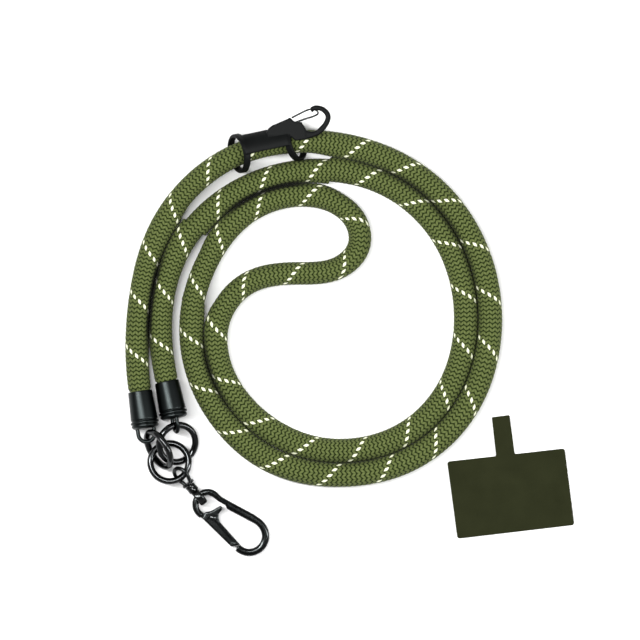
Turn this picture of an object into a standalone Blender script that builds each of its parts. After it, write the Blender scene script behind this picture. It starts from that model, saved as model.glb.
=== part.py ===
"""Phone crossbody strap lying flat: a rope with two metal end caps, three linked rings, a swivel
with a gated clip, a moulded length slider and a thin phone patch.

Numbers are millimetres unless a name says otherwise. The floor is z = 0 and +Z is up.
"""
import math

import bmesh
import bpy
import numpy as np
from mathutils import Matrix, Vector

MM = 0.001
GAP = 0.35

# Rope
ROPE_RADIUS = 5.5
ROPE_NECK_RADIUS = 5.0
ROPE_POINTS = 70
SLIDER_LIFT = 9.9
# Where the middle line of the rope goes, from the left cap round to the right cap.
ROUTE = [
    (-104.8, 17.7, 5.5), (-94.5, 52.0, 5.5), (-55.3, 88.4, SLIDER_LIFT), (-27.3, 94.4, SLIDER_LIFT),
    (-3.1, 92.9, 8.4), (40.9, 72.3, 5.5), (65.7, 34.3, 5.5), (66.2, -21.7, 5.5),
    (52.7, -46.7, 5.5), (28.7, -65.3, 5.5), (-6.4, -72.5, 5.5), (-40.9, -64.8, 5.5),
    (-66.6, -41.2, 5.5), (-78.3, -14.2, 5.5), (-79.0, 11.3, 5.5), (-70.1, 37.1, 5.5),
    (-52.1, 58.5, 5.5), (-24.9, 67.6, 5.5), (-7.1, 63.8, 5.5), (3.3, 53.5, 5.5),
    (4.2, 41.9, 5.5), (-5.1, 31.8, 5.5), (-28.5, 28.6, 5.5), (-51.8, 23.3, 5.5),
    (-65.1, 6.9, 5.5), (-65.8, -14.3, 5.5), (-26.2, -55.9, 5.5), (3.5, -59.2, 5.5),
    (31.0, -48.8, 5.5), (49.9, -26.9, 5.5), (57.5, 7.1, 5.5), (46.3, 46.9, 5.5),
    (20.1, 71.7, 5.5), (-15.3, 80.3, 5.5), (-55.0, 70.4, 5.5), (-81.7, 46.7, 5.5),
    (-93.7, 15.3, 5.5),
]

# End caps, each with a wire eye
CAP_MOUTH_RADIUS = ROPE_RADIUS + 0.55
CAP_LIP_RADIUS = CAP_MOUTH_RADIUS + 1.05
CAP_SOCKET_RADIUS = ROPE_NECK_RADIUS + GAP + 0.1
CAP_SOCKET_DEPTH = 6.0
CAP_LENGTH = 18.8
CAP_MOUTHS = {"left": (-105.05, -30.35), "right": (-91.7, -25.5)}
CAP_TURN_DEG = {"left": 8.5, "right": 11.5}
EYE_ROLL_DEG = {"left": 0.0, "right": 74.0}
EYE_HALF_WIDTH = 4.1
EYE_REACH = 6.7
EYE_WIRE_RADIUS = 1.0

# What hangs from the caps is placed from this point, between the ends of the two caps
mean_turn = math.radians((CAP_TURN_DEG["left"] + CAP_TURN_DEG["right"]) / 2)
HANG_X = (CAP_MOUTHS["left"][0] + CAP_MOUTHS["right"][0]) / 2 + CAP_LENGTH * math.sin(mean_turn)
HANG_Y = (CAP_MOUTHS["left"][1] + CAP_MOUTHS["right"][1]) / 2 - CAP_LENGTH * math.cos(mean_turn)

# Rings, each with its middle and the way that it faces
RING_RADIUS = 9.55
RING_WIRE_RADIUS = 1.6
RINGS = {
    "ring_1": ((HANG_X + 8.68, HANG_Y - 9.98, 5.53), (0.372, -0.257, 1.0)),
    "ring_2": ((HANG_X + 4.77, HANG_Y - 19.36, 5.59), (0.0, 0.104, 1.0)),
    "ring_3": ((HANG_X - 0.61, HANG_Y - 12.9, 10.20), (0.837, 0.474, -0.466)),
}

# Swivel
SWIVEL_AT = (HANG_X + 13.66, HANG_Y - 29.51, 5.29)
SWIVEL_TURN_DEG = -50.2
SWIVEL_END_Z = 4.45
SWIVEL_ROLL_DEG = 38.8
PIN_RADIUS = 1.0
BORE_RADIUS = PIN_RADIUS + 0.1
PIN_HEAD_RADIUS = 1.6
COLLAR_RADIUS = 3.25
COLLAR_LENGTH = 1.4
BARREL_RADIUS = 2.6
BARREL_START = COLLAR_LENGTH + GAP
U_HALF_WIDTH = 4.26
U_WIRE_RADIUS = 0.95
U_TIP = 8.91
HOLE_RADIUS = 2.45
HOLE_CENTRE = 9.25
LOWER_EYE_HALF_WIDTH = 2.0

# Clip: a bent bar and its gate, in the plane of the clip
CLIP_AT = (HANG_X + 23.99, HANG_Y - 40.46, 4.05)
CLIP_TURN_DEG = -37.5
CLIP_TILT_DEG = 3.6
BAR_THICKNESS = 3.5
LOOP_RADIUS = 6.3
BIG_END = (20.65, -15.85)
BIG_RADIUS = 8.2
PIVOT = (2.4, -6.7)
TONGUE_RADIUS = 2.0
TONGUE_THICKNESS = 1.2
RIVET_RADIUS = 0.75
RIVET_BORE = RIVET_RADIUS + 0.1
RIVET_HEAD_RADIUS = 1.6

# Slider: two leaning bands, a bridge, a plate and a hook with a wire gate
SLIDER_AT = (-55.52, 88.6, 0.0)
SLIDER_TURN_DEG = 11.8
BAND_INNER = ROPE_RADIUS + 2.5
BAND_OUTER = BAND_INNER + 1.9
BAND_WIDTH = 3.5
BRIDGE_OUTER = BAND_INNER + 1.75
BAND_LEAN_DEG = 25.0
BAND_SPACING = 28.86
BAND_HEIGHT = 9.75
HOOK_UNDERSIDE = 15.2
HOOK_THICKNESS = 3.2
HOOK_TOP = HOOK_UNDERSIDE + HOOK_THICKNESS
WIRE_RADIUS = 0.45
WIRE_CLEARANCE = 0.55

# Phone patch
PATCH_THICKNESS = 1.0

# What puts the middle of the whole outline at x = 0, y = 0
CENTRE = (-0.178, -0.12)


def material(name, colour, metallic, roughness):
    made = bpy.data.materials.new(name)
    made.use_nodes = True
    shader = made.node_tree.nodes["Principled BSDF"]
    shader.inputs["Base Color"].default_value = (*colour, 1.0)
    shader.inputs["Metallic"].default_value = metallic
    shader.inputs["Roughness"].default_value = roughness
    return made


def placement(origin, along, across):
    """A frame at origin whose Z runs along and whose X is as near across as it can be."""
    z = Vector(along).normalized()
    x = Vector(across)
    x = (x - z * x.dot(z)).normalized()
    y = z.cross(x)
    frame = Matrix((x, y, z)).transposed().to_4x4()
    frame.translation = Vector((origin[0] - CENTRE[0], origin[1] - CENTRE[1], origin[2])) * MM
    return frame


def solid(name, rings, wrap, frame, look):
    """One closed skin through rings of points, wrapped round or capped at both ends."""
    mesh = bpy.data.meshes.new(name)
    count = len(rings[0])
    points = [tuple(MM * float(value) for value in point) for ring in rings for point in ring]
    faces = []
    for k in range(len(rings) if wrap else len(rings) - 1):
        here = k * count
        there = ((k + 1) % len(rings)) * count
        for i in range(count):
            j = (i + 1) % count
            faces.append((here + i, here + j, there + j, there + i))
    if not wrap:
        faces.append(tuple(range(count)))
        faces.append(tuple(range(len(points) - count, len(points))))
    mesh.from_pydata(points, [], faces)
    shape = bmesh.new()
    shape.from_mesh(mesh)
    bmesh.ops.recalc_face_normals(shape, faces=shape.faces)
    shape.to_mesh(mesh)
    shape.free()
    made = bpy.data.objects.new(name, mesh)
    bpy.context.scene.collection.objects.link(made)
    made.matrix_world = frame
    mesh.materials.append(look)
    mesh.shade_smooth()
    mesh.set_sharp_from_angle(angle=math.radians(35))
    return made


def turned(name, profile, steps, frame, look, wrap=False):
    """A round solid about the frame's Z from (height, radius) pairs."""
    angles = [2 * math.pi * i / steps for i in range(steps)]
    rings = [[(r * math.cos(a), r * math.sin(a), s) for a in angles] for s, r in profile]
    return solid(name, rings, wrap, frame, look)


def wire(name, path, radius, sides, frame, look, closed=False):
    """A round wire along a path of (x, z) points in the frame's XZ plane."""
    points = np.array(path, float)
    rings = []
    for k, point in enumerate(points):
        before = points[k - 1] if k or closed else point
        after = points[(k + 1) % len(points)] if k + 1 < len(points) or closed else point
        way = (after - before) / np.linalg.norm(after - before)
        ring = []
        for i in range(sides):
            a = 2 * math.pi * (i + 0.5) / sides
            side = radius * math.cos(a)
            ring.append((point[0] + way[1] * side, radius * math.sin(a), point[1] - way[0] * side))
        rings.append(ring)
    return solid(name, rings, closed, frame, look)


def inset(outline, depth):
    """The outline moved inward, for an outline listed against the clock."""
    points = np.array(outline, float)
    before = points - np.roll(points, 1, axis=0)
    after = np.roll(points, -1, axis=0) - points
    left = []
    for edge in (before, after):
        way = edge / np.linalg.norm(edge, axis=1)[:, None]
        left.append(np.stack([-way[:, 1], way[:, 0]], axis=1))
    middle = left[0] + left[1]
    reach = np.maximum(1.0 + (left[0] * left[1]).sum(axis=1), 0.5)
    return points + depth * middle / reach[:, None]


def plate(name, outline, low, high, chamfer, frame, look):
    """A flat plate with chamfered rims, from an outline in the frame's XY plane."""
    inner = inset(outline, chamfer)
    levels = [(inner, low), (outline, low + chamfer), (outline, high - chamfer), (inner, high)]
    rings = [[(x, y, z) for x, y in points] for points, z in levels]
    return solid(name, rings, False, frame, look)


def bar(name, path, low, high, chamfer, frame, look, last_across=None):
    """A flat bar with chamfered corners along (x, y, width) points."""
    points = np.array(path, float)
    rings = []
    for k, (x, y, width) in enumerate(points):
        way = points[min(k + 1, len(points) - 1), :2] - points[max(k - 1, 0), :2]
        way = way / np.linalg.norm(way)
        across = np.array([-way[1], way[0]])
        if last_across is not None and k == len(points) - 1:
            across = np.array(last_across)
        half = width / 2
        section = [
            (-half, low + chamfer), (-half + chamfer, low), (half - chamfer, low),
            (half, low + chamfer), (half, high - chamfer), (half - chamfer, high),
            (-half + chamfer, high), (-half, high - chamfer),
        ]
        rings.append([(x + across[0] * u, y + across[1] * u, z) for u, z in section])
    return solid(name, rings, False, frame, look)


def combine(base, other, operation):
    """Adds other to base, or cuts it out of base."""
    change = base.modifiers.new(other.name, "BOOLEAN")
    change.operation = operation
    change.solver = "EXACT"
    change.object = other
    other.hide_render = True
    other.display_type = "WIRE"


def through(points, start_way, end_way, samples):
    """A curve with steady curvature through the points, as even samples with their distances."""
    points = np.array(points, float)
    at = np.r_[0, np.cumsum(np.linalg.norm(np.diff(points[:, :2], axis=0), axis=1))]
    step = np.diff(at)
    slope = np.diff(points, axis=0) / step[:, None]
    count = len(points)
    grid = np.zeros((count, count))
    right = np.zeros_like(points)
    grid[0, 0] = 1
    grid[-1, -1] = 1
    right[0] = start_way
    right[-1] = end_way
    for k in range(1, count - 1):
        grid[k, k - 1] = step[k]
        grid[k, k] = 2 * (step[k - 1] + step[k])
        grid[k, k + 1] = step[k - 1]
        right[k] = 3 * (step[k] * slope[k - 1] + step[k - 1] * slope[k])
    ways = np.linalg.solve(grid, right)
    # Heights take flat slopes at each listed high or low point, so none dips below the floor.
    for k in range(1, count - 1):
        a, b = slope[k - 1, 2], slope[k, 2]
        ways[k, 2] = 0 if a * b <= 0 else 2 * a * b / (a + b)
    where = np.linspace(0, at[-1], samples)
    k = np.clip(np.searchsorted(at, where, side="right") - 1, 0, count - 2)
    t = ((where - at[k]) / step[k])[:, None]
    h = step[k][:, None]
    line = (2 * t**3 - 3 * t**2 + 1) * points[k] + (t**3 - 2 * t**2 + t) * h * ways[k]
    line += (3 * t**2 - 2 * t**3) * points[k + 1] + (t**3 - t**2) * h * ways[k + 1]
    return line


def by_bend(line, count):
    """Picks points closer together where the line bends more."""
    way = np.gradient(line, axis=0)
    speed = np.linalg.norm(way, axis=1)
    bend = np.linalg.norm(np.gradient(way / speed[:, None], axis=0), axis=1) / speed
    need = np.sqrt(np.maximum(bend, 1 / 90)) * speed
    total = np.r_[0, np.cumsum((need[1:] + need[:-1]) / 2)]
    pick = np.interp(np.linspace(0, total[-1], count), total, np.arange(len(line)))
    return np.stack([np.interp(pick, np.arange(len(line)), line[:, i]) for i in range(3)], axis=1)


def along(frame, distance):
    """The listed place of a point on a frame's Z."""
    point = frame @ Vector((0, 0, distance * MM)) / MM
    return (point.x + CENTRE[0], point.y + CENTRE[1], point.z)


def band_at(name, along_rope, lean_deg, frame, look):
    """One round band of the slider, leaning along the rope."""
    local = Matrix.Translation(Vector((along_rope, 0, BAND_HEIGHT)) * MM)
    local = local @ Matrix.Rotation(math.pi / 2 + math.radians(lean_deg), 4, "Y")
    w, cut = BAND_WIDTH / 2, 0.4
    profile = [
        (-w, BAND_INNER + cut), (-w + cut, BAND_INNER), (w - cut, BAND_INNER),
        (w, BAND_INNER + cut), (w, BAND_OUTER - cut), (w - cut, BAND_OUTER),
        (-w + cut, BAND_OUTER), (-w, BAND_OUTER - cut),
    ]
    return turned(name, profile, 28, frame @ local, look, wrap=True)


def rounded(before, corner, after, radius):
    """A corner of an outline, rounded."""
    corner = Vector(corner)
    one = (Vector(before) - corner).normalized()
    two = (Vector(after) - corner).normalized()
    cut = radius / math.tan(one.angle(two) / 2)
    start, end = corner + one * cut, corner + two * cut
    made = []
    for t in (0.0, 0.25, 0.5, 0.75, 1.0):
        point = start * (1 - t) ** 2 + corner * 2 * t * (1 - t) + end * t**2
        made.append((point.x, point.y))
    return made


# Start from an empty scene
for thing in list(bpy.data.objects):
    bpy.data.objects.remove(thing, do_unlink=True)

rope_look = material("braided rope", (0.10, 0.12, 0.05), 0.0, 0.9)
black_metal = material("black metal", (0.03, 0.03, 0.035), 1.0, 0.35)
ring_metal = material("gunmetal", (0.06, 0.06, 0.07), 1.0, 0.25)
black_plastic = material("black plastic", (0.02, 0.02, 0.022), 0.0, 0.4)
patch_look = material("olive patch", (0.03, 0.035, 0.014), 0.0, 0.9)

# The two end caps with their eyes
end = CAP_LENGTH
lean = math.atan2(CAP_LIP_RADIUS - CAP_MOUTH_RADIUS, end - 3.0)
cap_frames = {}
for side in ("left", "right"):
    turn = math.radians(CAP_TURN_DEG[side])
    way = Vector((math.sin(turn), -math.cos(turn), math.tan(lean)))
    mouth = (*CAP_MOUTHS[side], CAP_MOUTH_RADIUS / math.cos(lean) + 0.01)
    level = Vector((0, 0, 1)).cross(way).normalized()
    raised = way.normalized().cross(level)
    roll = math.radians(EYE_ROLL_DEG[side])
    frame = placement(mouth, way, level * math.cos(roll) + raised * math.sin(roll))
    cap_frames[side] = frame
    m, lip = CAP_MOUTH_RADIUS, CAP_LIP_RADIUS
    profile = [
        (CAP_SOCKET_DEPTH, CAP_SOCKET_RADIUS), (0.2, CAP_SOCKET_RADIUS), (0.0, m - 0.3),
        (0.15, m - 0.07), (0.45, m), (end / 2 - 2.4, m + 0.33), (end - 4.8, m + 0.7),
        (end - 4.4, m + 0.65), (end - 4.2, m + 0.35), (end - 3.8, m + 0.38),
        (end - 3.5, lip - 0.15), (end - 3.25, lip), (end - 2.75, lip), (end - 2.5, lip - 0.15),
        (end - 2.3, lip - 0.65), (end - 2.0, lip - 0.65), (end - 1.75, lip - 0.32),
        (end - 1.1, lip - 0.32), (end - 0.5, lip - 0.8), (end, lip - 1.6),
    ]
    cap = turned("cap_" + side, profile, 20, frame, black_metal)
    root, bend = end - 1.5, end + EYE_REACH - EYE_HALF_WIDTH
    path = [(EYE_HALF_WIDTH, root), (EYE_HALF_WIDTH, bend)]
    for i in range(1, 12):
        a = math.pi * i / 12
        path.append((EYE_HALF_WIDTH * math.cos(a), bend + EYE_HALF_WIDTH * math.sin(a)))
    path += [(-EYE_HALF_WIDTH, bend), (-EYE_HALF_WIDTH, root)]
    eye = wire("eye_" + side, path, EYE_WIRE_RADIUS, 8, frame, black_metal)
    combine(cap, eye, "UNION")

# The rope, which necks down where it enters each cap
left, right = cap_frames["left"], cap_frames["right"]
middle = through(
    [along(left, -1.2)] + ROUTE + [along(right, -1.2)],
    -np.array(left.col[2][:3]), np.array(right.col[2][:3]), 4000,
)
middle[:, 2] = np.maximum(middle[:, 2], ROPE_RADIUS + 0.02)
body = by_bend(middle, int(ROPE_POINTS))
neck = ROPE_NECK_RADIUS / ROPE_RADIUS
stations = [(*along(left, s), neck) for s in (CAP_SOCKET_DEPTH - GAP, -GAP)]
stations += [(*point, 1.0) for point in body]
stations += [(*along(right, s), neck) for s in (-GAP, CAP_SOCKET_DEPTH - GAP)]
curve = bpy.data.curves.new("rope", "CURVE")
curve.dimensions = "3D"
curve.bevel_depth = ROPE_RADIUS * MM
curve.bevel_resolution = 4
curve.use_fill_caps = True
line = curve.splines.new("POLY")
line.points.add(len(stations) - 1)
for point, (x, y, z, size) in zip(line.points, stations):
    point.co = ((x - CENTRE[0]) * MM, (y - CENTRE[1]) * MM, z * MM, 1.0)
    point.radius = size
curve.materials.append(rope_look)
rope = bpy.data.objects.new("rope", curve)
bpy.context.scene.collection.objects.link(rope)
length = np.linalg.norm(np.diff(np.array(stations)[:, :3], axis=0), axis=1).sum()
print("rope length mm", round(float(length), 1), "points", len(stations))

# The three rings
for name, (centre, facing) in RINGS.items():
    across = Vector(facing).cross(Vector((0, 1, 0.01)))
    frame = placement(centre, Vector(facing).cross(across), across)
    angles = [2 * math.pi * i / 28 for i in range(28)]
    path = [(RING_RADIUS * math.cos(a), RING_RADIUS * math.sin(a)) for a in angles]
    wire(name, path, RING_WIRE_RADIUS, 8, frame, ring_metal, closed=True)

# The swivel: its stem holds the pin, and the barrel turns on it
turn = math.radians(SWIVEL_TURN_DEG)
way = Vector((math.cos(turn), math.sin(turn), (SWIVEL_END_Z - SWIVEL_AT[2]) / HOLE_CENTRE))
level = Vector((0, 0, 1)).cross(way).normalized()
raised = way.normalized().cross(level)
roll = math.radians(SWIVEL_ROLL_DEG)
stem_frame = placement(SWIVEL_AT, way, raised * math.cos(roll) + level * math.sin(roll))
barrel_frame = placement(SWIVEL_AT, way, raised)
profile = [
    (0.0, COLLAR_RADIUS - 0.3), (0.3, COLLAR_RADIUS), (COLLAR_LENGTH - 0.3, COLLAR_RADIUS),
    (COLLAR_LENGTH, COLLAR_RADIUS - 0.3), (COLLAR_LENGTH, PIN_RADIUS), (3.1, PIN_RADIUS),
    (3.1, PIN_HEAD_RADIUS), (3.9, PIN_HEAD_RADIUS), (4.15, PIN_HEAD_RADIUS - 0.3),
]
stem = turned("swivel_stem", profile, 20, stem_frame, black_metal)
bend = U_TIP - U_HALF_WIDTH
foot = COLLAR_RADIUS - 0.65
path = [(foot, 0.8), (foot, 0.0), ((foot + U_HALF_WIDTH) / 2 + 0.2, -bend / 2), (U_HALF_WIDTH, -bend)]
for i in range(1, 12):
    a = math.pi * i / 12
    path.append((U_HALF_WIDTH * math.cos(a), -bend - U_HALF_WIDTH * math.sin(a)))
path += [(-x, s) for x, s in reversed(path[:4])]
combine(stem, wire("stem_loop", path, U_WIRE_RADIUS, 8, stem_frame, black_metal), "UNION")

cavity = PIN_HEAD_RADIUS + GAP
profile = [
    (4.55, cavity), (2.75, cavity), (2.75, BORE_RADIUS), (BARREL_START, BORE_RADIUS),
    (BARREL_START, BARREL_RADIUS - 0.3), (BARREL_START + 0.3, BARREL_RADIUS),
    (5.3, BARREL_RADIUS), (6.0, BARREL_RADIUS - 0.6),
]
barrel = turned("swivel_barrel", profile, 20, barrel_frame, black_metal)
rings = []
band = SWIVEL_END_Z - HOLE_RADIUS - 0.03
for i in range(24):
    a = 2 * math.pi * (i + 0.5) / 24
    c, s = math.cos(a), math.sin(a)
    middle_s = HOLE_CENTRE + (0.2 if c > 0 else -0.25)
    outer_s = middle_s + (HOLE_RADIUS + (band if c > 0 else band - 0.45)) * c
    low = (HOLE_RADIUS * s, middle_s + HOLE_RADIUS * c)
    high = ((HOLE_RADIUS + band) * s, outer_s)
    half, cut = LOWER_EYE_HALF_WIDTH, 0.5
    across = Vector((high[0] - low[0], high[1] - low[1]))
    across_way = across.normalized()
    section = []
    for depth, y in (
        (cut, -half), (across.length - cut, -half), (across.length, -half + cut),
        (across.length, half - cut), (across.length - cut, half), (cut, half),
        (0.0, half - cut), (0.0, -half + cut),
    ):
        section.append((low[0] + across_way.x * depth, y, low[1] + across_way.y * depth))
    rings.append(section)
combine(barrel, solid("lower_eye", rings, True, barrel_frame, black_metal), "UNION")

# The clip, tilted so that its wide end lies on the floor
turn = math.radians(CLIP_TURN_DEG)
tilt_axis = Vector((-math.sin(turn), math.cos(turn), 0))
tilt = Matrix.Rotation(math.radians(CLIP_TILT_DEG), 3, tilt_axis)
clip_frame = placement(CLIP_AT, tilt @ Vector((0, 0, 1)), tilt @ Vector((1, 0, 0)))
half = BAR_THICKNESS / 2
path = []
for degrees in range(-121, -281, -17):
    a = math.radians(degrees)
    path.append((LOOP_RADIUS * math.cos(a), LOOP_RADIUS * math.sin(a), 3.2))
path += [
    (1.9, 5.85, 3.35), (3.3, 5.05, 3.2), (4.5, 4.0, 2.95), (5.9, 2.75, 2.75), (8.5, 1.29, 2.75),
    (9.66, 0.67, 2.8), (10.68, -0.60, 4.0), (12.4, -1.55, 4.0), (17.0, -4.02, 4.0),
    (22.0, -6.72, 4.0),
]
for degrees in (66, 50, 34, 18, 2, -14, -30, -46, -62, -78, -94, -110, -126, -142.6):
    a = math.radians(degrees)
    reach = BIG_RADIUS + (0.35 if degrees > 60 else 0.15 if degrees > 45 else 0.0)
    path.append((BIG_END[0] + reach * math.cos(a), BIG_END[1] + reach * math.sin(a), 3.7))
clip = bar("carabiner_frame", path, -half, half, 0.8, clip_frame, black_metal, (0.983, 0.184))

outline = []
for degrees in range(-120, 61, 20):
    a = math.radians(degrees)
    outline.append((PIVOT[0] + TONGUE_RADIUS * math.cos(a), PIVOT[1] + TONGUE_RADIUS * math.sin(a)))
outline += [(-3.0, -4.3), (-4.3, -6.2)]
tongue = plate(
    "tongue", outline, -TONGUE_THICKNESS / 2, TONGUE_THICKNESS / 2, 0.1, clip_frame, black_metal
)
combine(clip, tongue, "UNION")
pivot_frame = clip_frame @ Matrix.Translation(Vector((PIVOT[0], PIVOT[1], 0)) * MM)
hole = turned("rivet_hole", [(-3, RIVET_BORE), (3, RIVET_BORE)], 16, pivot_frame, black_metal)
combine(clip, hole, "DIFFERENCE")

outline = [
    (-2.9, -6.85), (-2.35, -7.45), (11.47, -21.02), (16.1, -20.15), (5.9, -8.75), (5.3, -6.6),
    (5.35, -4.6), (6.4, -3.3), (7.15, -2.3), (7.0, -1.2), (6.15, -0.7), (5.2, -1.2),
    (3.9, -1.95), (2.6, -2.8), (1.2, -3.4), (-0.2, -3.7), (-1.3, -3.9), (-1.75, -4.6),
]
about_pivot = [(x - PIVOT[0], y - PIVOT[1]) for x, y in outline]
gate = plate("carabiner_gate", about_pivot, -half, half, 0.6, pivot_frame, black_metal)
slot = []
slot_radius = TONGUE_RADIUS + GAP
for degrees in range(-73, 36, 12):
    a = math.radians(degrees)
    slot.append((slot_radius * math.cos(a), slot_radius * math.sin(a)))
for degrees, foot in ((125, 35), (197, -73)):
    a, b = math.radians(degrees), math.radians(foot)
    far = (9 * math.cos(a) + slot_radius * math.cos(b), 9 * math.sin(a) + slot_radius * math.sin(b))
    slot.append(far)
slot_half = TONGUE_THICKNESS / 2 + 0.3
cutter = plate("tongue_slot", slot, -slot_half, slot_half, 0.06, pivot_frame, black_metal)
combine(gate, cutter, "DIFFERENCE")
combine(gate, hole, "DIFFERENCE")
head = half + 0.1
profile = [
    (-head - 0.4, RIVET_HEAD_RADIUS - 0.3), (-head - 0.15, RIVET_HEAD_RADIUS),
    (-head, RIVET_HEAD_RADIUS), (-head, RIVET_RADIUS), (head, RIVET_RADIUS),
    (head, RIVET_HEAD_RADIUS), (head + 0.15, RIVET_HEAD_RADIUS),
    (head + 0.4, RIVET_HEAD_RADIUS - 0.3),
]
turned("gate_rivet", profile, 16, pivot_frame, black_metal)

# The slider: a is along the rope, u is outward from the loop
turn = math.radians(SLIDER_TURN_DEG)
slider_frame = placement(SLIDER_AT, (0, 0, 1), (math.cos(turn), math.sin(turn), 0))
slider = band_at("slider_body", 0.0, BAND_LEAN_DEG, slider_frame, black_plastic)
second = band_at("second_band", BAND_SPACING, -BAND_LEAN_DEG, slider_frame, black_plastic)
combine(slider, second, "UNION")
section = []
for degrees in range(-8, 65, 9):
    a = math.radians(degrees)
    section.append((BRIDGE_OUTER * math.sin(a), BAND_HEIGHT + BRIDGE_OUTER * math.cos(a)))
for degrees in range(64, -9, -9):
    a = math.radians(degrees)
    section.append((BAND_INNER * math.sin(a), BAND_HEIGHT + BAND_INNER * math.cos(a)))
ends = (3.3, 9.0, 17.0, BAND_SPACING - 3.46)
rings = [[(a, u, z) for u, z in section] for a in ends]
combine(slider, solid("bridge", rings, False, slider_frame, black_plastic), "UNION")
outline = [
    (16.6, 8.9), (15.6, 7.2), (15.6, 5.0), (22.0, 4.5), (26.6, 3.4), (28.8, 0.3), (34.6, -0.1),
    (35.1, 4.9), (34.7, 6.3), (33.6, 8.9), (30.9, 9.5), (30.1, 10.0), (28.55, 12.2),
    (24.25, 11.15), (18.9, 10.1),
]
web = plate("hook_plate", outline, HOOK_UNDERSIDE - 0.1, HOOK_TOP, 0.4, slider_frame, black_plastic)
combine(slider, web, "UNION")
outline = [(25.4, 7.3), (30.2, 7.0), (30.4, 8.4), (29.9, 9.6), (28.3, 11.9), (25.0, 10.9)]
lug_ends = (HOOK_UNDERSIDE - 2.3, HOOK_UNDERSIDE + 1.4)
lug = plate("gate_lug", outline, *lug_ends, 0.3, slider_frame, black_plastic)
combine(slider, lug, "UNION")
arm = through(
    [(33.6, 2.5, 5.0), (36.5, 1.8, 3.4), (39.6, 1.85, 2.6), (42.8, 3.3, 2.8), (46.1, 6.3, 2.65),
     (47.3, 9.1, 2.6), (46.3, 11.8, 2.5), (44.2, 13.7, 2.4), (42.2, 14.3, 2.6), (39.5, 14.2, 1.7)],
    (1, -0.3, -0.5), (-1, -0.1, -0.3), 26,
)
hook = bar("hook_arm", arm, HOOK_UNDERSIDE, HOOK_TOP - 0.1, 0.6, slider_frame, black_plastic)
combine(slider, hook, "UNION")
outline = [(39.25, 14.1), (39.85, 12.3), (41.6, 13.5), (41.1, 14.4)]
barb = plate("hook_barb", outline, HOOK_UNDERSIDE + GAP, HOOK_TOP - 0.5, 0.2, slider_frame, black_plastic)
combine(slider, barb, "UNION")

# The slider's wire gate turns about the inner root of its wire
hinge = (30.85, 9.35)
wire_height = HOOK_UNDERSIDE - WIRE_CLEARANCE - WIRE_RADIUS
hinge_frame = slider_frame @ Matrix.Translation(Vector((hinge[0], hinge[1], wire_height)) * MM)
flat = hinge_frame @ Matrix.Rotation(-math.pi / 2, 4, "X")
path = [
    (29.35, 11.95), (34.2, 13.3), (38.7, 14.2), (40.5, 14.05), (41.9, 13.3), (42.7, 12.3),
    (42.6, 11.3), (41.8, 10.85), (36.5, 10.1), hinge,
]
wire("slider_gate", [(x - hinge[0], y - hinge[1]) for x, y in path], WIRE_RADIUS, 8, flat, black_metal)

# The phone patch: a rounded pad with its strip, from one flat piece
A, B, C, D = (48.55, -65.55), (107.25, -58.95), (112.1, -97.2), (53.7, -104.1)
S1, S2, S3, S4 = (73.05, -62.8), (70.85, -43.35), (79.7, -42.25), (82.25, -61.75)
outline = []
ring = [(B, S4, S3, 0.8), (S4, S3, S2, 0.6), (S3, S2, S1, 0.6), (S2, S1, A, 0.8)]
ring += [(S1, A, D, 1.5), (A, D, C, 1.5), (D, C, B, 1.5), (C, B, S4, 1.5)]
for before, corner, after, radius in ring:
    outline += rounded(before, corner, after, radius)
patch_frame = placement((0, 0, 0), (0, 0, 1), (1, 0, 0))
plate("phone_patch", outline, 0.0, PATCH_THICKNESS, 0.12, patch_frame, patch_look)
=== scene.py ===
# %% [markdown]
# # A phone strap, laid out flat
# A thick braided rope with metal end caps, linked rings, a swivel clip, a moulded slider and a thin
# phone patch. The frame gives the solids in their places, and every cell below dresses one of them.

import math

import bmesh
import bpy
import numpy as np
from mathutils import Matrix, Vector


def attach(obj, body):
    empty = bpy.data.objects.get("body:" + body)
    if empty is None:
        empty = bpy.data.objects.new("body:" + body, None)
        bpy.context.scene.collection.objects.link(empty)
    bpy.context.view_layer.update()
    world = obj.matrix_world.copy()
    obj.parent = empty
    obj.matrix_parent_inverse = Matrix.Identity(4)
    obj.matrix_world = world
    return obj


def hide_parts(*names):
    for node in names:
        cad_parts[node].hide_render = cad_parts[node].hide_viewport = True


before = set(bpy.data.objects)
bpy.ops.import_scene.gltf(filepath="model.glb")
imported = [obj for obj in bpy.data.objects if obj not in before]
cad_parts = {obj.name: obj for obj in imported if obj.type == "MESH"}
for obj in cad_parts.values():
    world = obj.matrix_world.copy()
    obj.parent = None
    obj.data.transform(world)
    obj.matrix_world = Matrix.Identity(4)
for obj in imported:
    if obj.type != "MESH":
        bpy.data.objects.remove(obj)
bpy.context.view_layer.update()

# %% [markdown]
# ## The camera
# The photograph looks straight down, with 320 mm of the table across the frame. A long lens from far
# above keeps the perspective as faint as in a product photograph.

# %% Camera, straight above
MM = 0.001
VIEW_WIDTH = 0.320
VIEW_CENTRE = (-0.01492, 0.00543)
CAMERA_HEIGHT = 8.0

scene = bpy.context.scene
camera = bpy.data.objects.new("camera", bpy.data.cameras.new("camera"))
scene.collection.objects.link(camera)
camera.location = (VIEW_CENTRE[0], VIEW_CENTRE[1], CAMERA_HEIGHT)
camera.data.sensor_width = 36.0
camera.data.lens = 36.0 * (CAMERA_HEIGHT - 0.005) / VIEW_WIDTH
camera.data.clip_start = 1.0
scene.camera = camera
print("lens mm", round(camera.data.lens, 1))

# %% [markdown]
# ## Shared shader effects
# Two effects serve several pieces: a fine grain that breaks up flat colour, and the worn edge that
# handling gives to black metal. Each is a small node group that gives out plain values.


# %% Node helpers and groups
def tree_of(name, roughness=0.5, metallic=0.0):
    made = bpy.data.materials.new(name)
    made.use_nodes = True
    shader = made.node_tree.nodes["Principled BSDF"]
    shader.inputs["Roughness"].default_value = roughness
    shader.inputs["Metallic"].default_value = metallic
    return made, made.node_tree, shader


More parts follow.
